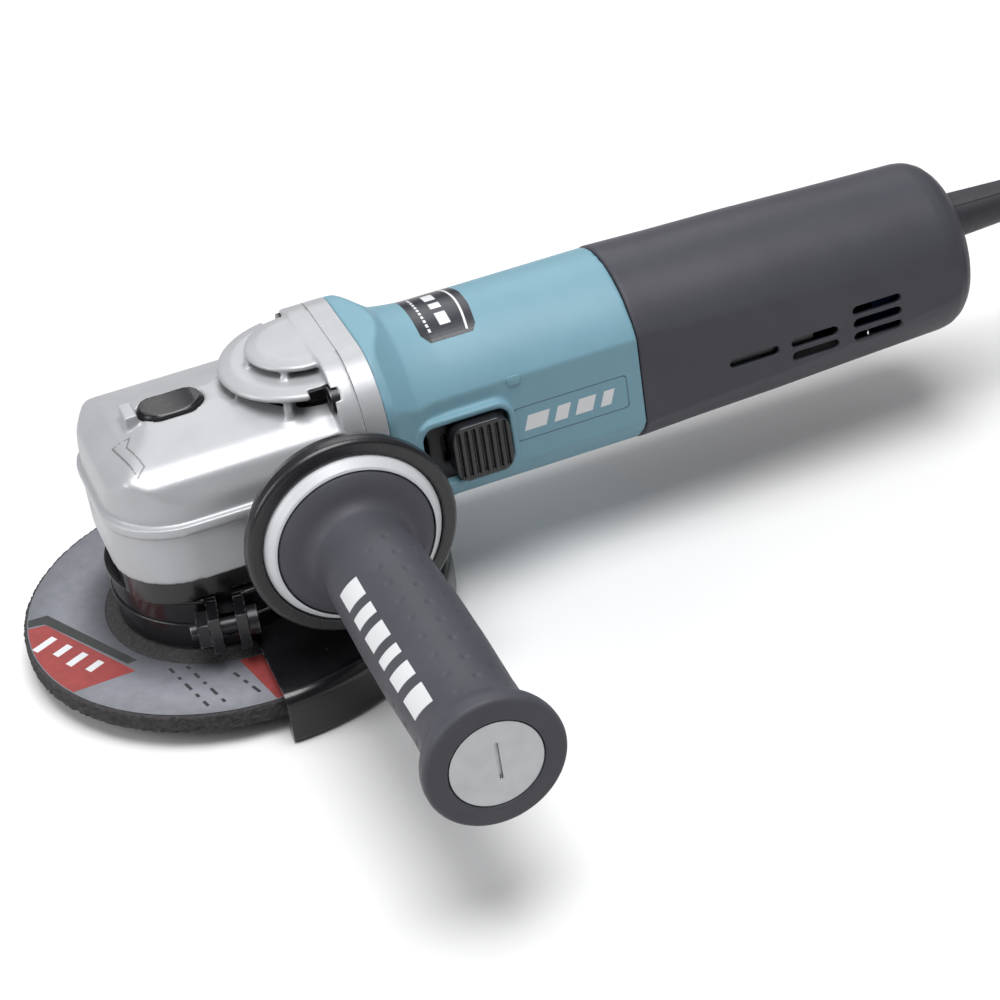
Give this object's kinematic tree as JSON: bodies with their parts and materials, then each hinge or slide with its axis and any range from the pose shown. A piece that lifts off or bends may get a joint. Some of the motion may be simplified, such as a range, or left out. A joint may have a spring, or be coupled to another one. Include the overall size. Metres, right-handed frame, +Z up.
{
  "type": "angle grinder",
  "caption": "Corded hand grinder with a depressed-centre wheel under a half guard, slim barrel body, side handle, slide switch, spindle lock button and a coiled mains lead with plug.",
  "frame": {"origin": "spindle axis at the grinding wheel's lower face, where the spindle's end is flush with it", "axes": "+X from the spindle to the rear along the motor axis, +Y to the tool's right-hand side, +Z up the spindle; the grinding face looks along -Z"},
  "size_m": [0.5295, 0.2915, 0.089],
  "materials": {
    "cast_alloy": "satin die-cast, silver lacquered",
    "black_steel": "blackened steel",
    "zinc_steel": "zinc plated",
    "bearing_steel": "ground steel",
    "gear_steel": "hardened, oiled",
    "spring_steel": "drawn wire",
    "lamination_steel": "stacked sheets",
    "nickel": "nickel plated",
    "brass": "stamped",
    "copper": "turned segments",
    "copper_wire": "varnished wire",
    "teal_plastic": "fine spark texture",
    "charcoal_plastic": "fine spark texture",
    "black_plastic": "smooth",
    "white_plastic": "smooth",
    "grey_plastic": "smooth",
    "potting_resin": "cast resin",
    "black_paint": "gloss black",
    "grip_rubber": "soft matt",
    "soft_rubber": "matt",
    "cord_rubber": "matt",
    "felt": "pressed felt",
    "carbon": "graphite",
    "abrasive": "resin-bonded grit"
  },
  "bodies": {
    "body": {"gear_housing": "cast_alloy", "gear_housing_screws": "black_steel", "bearing_plate": "cast_alloy", "front_bearing": "bearing_steel", "bearing_clamp": "zinc_steel", "motor_housing": "teal_plastic", "rear_cover": "charcoal_plastic", "rear_cover_screw": "black_steel", "bearing_box": "black_paint", "bearing_box_screws": "black_steel", "spindle_bearing": "bearing_steel", "spindle_bearing_clamp": "zinc_steel", "spindle_seal": "felt", "spindle_top_bearing": "bearing_steel", "lock_spring": "spring_steel", "rear_bearing": "bearing_steel", "bearing_sleeve": "soft_rubber", "fan_baffle": "black_plastic", "stator_core": "lamination_steel", "field_coils": "copper_wire", "stator_screws": "black_steel", "brush_holders": "brass", "carbon_brushes": "carbon", "brush_springs": "spring_steel", "switch_unit": "black_plastic", "soft_start_unit": "potting_resin", "cord_clamp": "black_plastic", "cord_clamp_screws": "zinc_steel", "cord_guard": "cord_rubber", "power_cord": "cord_rubber", "cord_coil": "cord_rubber", "coil_tie": "black_plastic", "plug_body": "cord_rubber", "plug_pins": "nickel"},
    "spindle": {"spindle": "bearing_steel", "spindle_gear": "gear_steel", "spindle_circlip": "black_steel", "inner_flange": "zinc_steel", "grinding_wheel": "abrasive", "lock_nut": "zinc_steel"},
    "armature": {"armature_shaft": "bearing_steel", "armature_core": "lamination_steel", "armature_windings": "copper_wire", "commutator": "copper", "cooling_fan": "black_plastic", "pinion_gear": "gear_steel", "pinion_nut": "black_steel"},
    "guard": {"guard_collar": "black_paint", "wheel_guard": "black_paint", "guard_clamp_nut": "black_steel"},
    "guard_screw": {"guard_clamp_screw": "black_steel"},
    "lock": {"lock_button": "black_plastic", "lock_pin": "bearing_steel"},
    "side_handle": {"handle_stud": "zinc_steel", "handle_base": "grip_rubber", "handle_ring": "white_plastic", "handle_grip": "grip_rubber", "handle_cap": "grey_plastic"},
    "switch": {"switch_slider": "black_plastic", "switch_rod": "black_plastic"}
  },
  "joints": [
    {"name": "spindle_spin", "type": "hinge", "parent": "body", "child": "spindle", "pos_m": [0, 0, 0], "axis": [0, 0, 1], "continuous": true},
    {"name": "armature_spin", "type": "hinge", "parent": "body", "child": "armature", "pos_m": [0, 0, 0.05], "axis": [1, 0, 0], "continuous": true},
    {"name": "guard_turn", "type": "hinge", "parent": "body", "child": "guard", "pos_m": [0, 0, 0], "axis": [0, 0, 1], "range_deg": [-90, 40]},
    {"name": "guard_screw_turn", "type": "hinge", "parent": "guard", "child": "guard_screw", "pos_m": [-0.00715, -0.03681, 0.019], "axis": [0.9816, -0.1908, 0], "range_deg": [0, 300]},
    {"name": "lock_press", "type": "slide", "parent": "body", "child": "lock", "axis": [0, 0, -1], "range_m": [0, 0.004], "stiffness_N_per_m": 900, "springref_m": -0.0015, "deforming": ["lock_spring"]},
    {"name": "handle_turn", "type": "hinge", "parent": "body", "child": "side_handle", "pos_m": [0.0293, -0.06, 0.05], "axis": [0, -1, 0], "range_deg": [0, 360]},
    {"name": "switch_slide", "type": "slide", "parent": "body", "child": "switch", "axis": [-1, 0, 0], "range_m": [0, 0.007]}
  ],
  "couplings": [
    {"joint": "armature_spin", "follows": "spindle_spin", "ratio": 3.3636}
  ]
}
